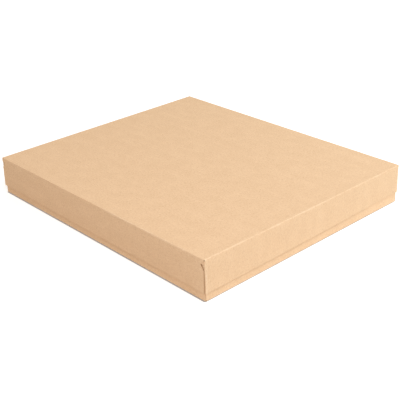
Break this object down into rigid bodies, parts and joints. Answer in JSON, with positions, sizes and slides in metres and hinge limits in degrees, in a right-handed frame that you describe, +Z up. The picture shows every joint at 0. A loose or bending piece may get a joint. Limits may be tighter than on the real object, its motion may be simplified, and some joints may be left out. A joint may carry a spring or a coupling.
{
  "type": "cardboard tray with lid",
  "caption": "Shallow rectangular kraft board tray with a lift-off lid whose skirt stops short of the base; holds flat food or goods for carrying and stacking.",
  "frame": {"origin": "centre of the tray's underside, with the lid on", "axes": "+X along the box's length, +Y along its width, +Z up the way the lid lifts"},
  "size_m": [0.35, 0.3, 0.045],
  "materials": {
    "kraft_tray": "uncoated natural kraft board, matt",
    "kraft_lid": "uncoated natural kraft board, matt"
  },
  "bodies": {
    "tray": {"tray": "kraft_tray"},
    "lid": {"lid": "kraft_lid"}
  },
  "joints": [
    {"name": "lid_lift", "type": "slide", "parent": "tray", "child": "lid", "axis": [0, 0, 1], "range_m": [0, 0.1]}
  ]
}
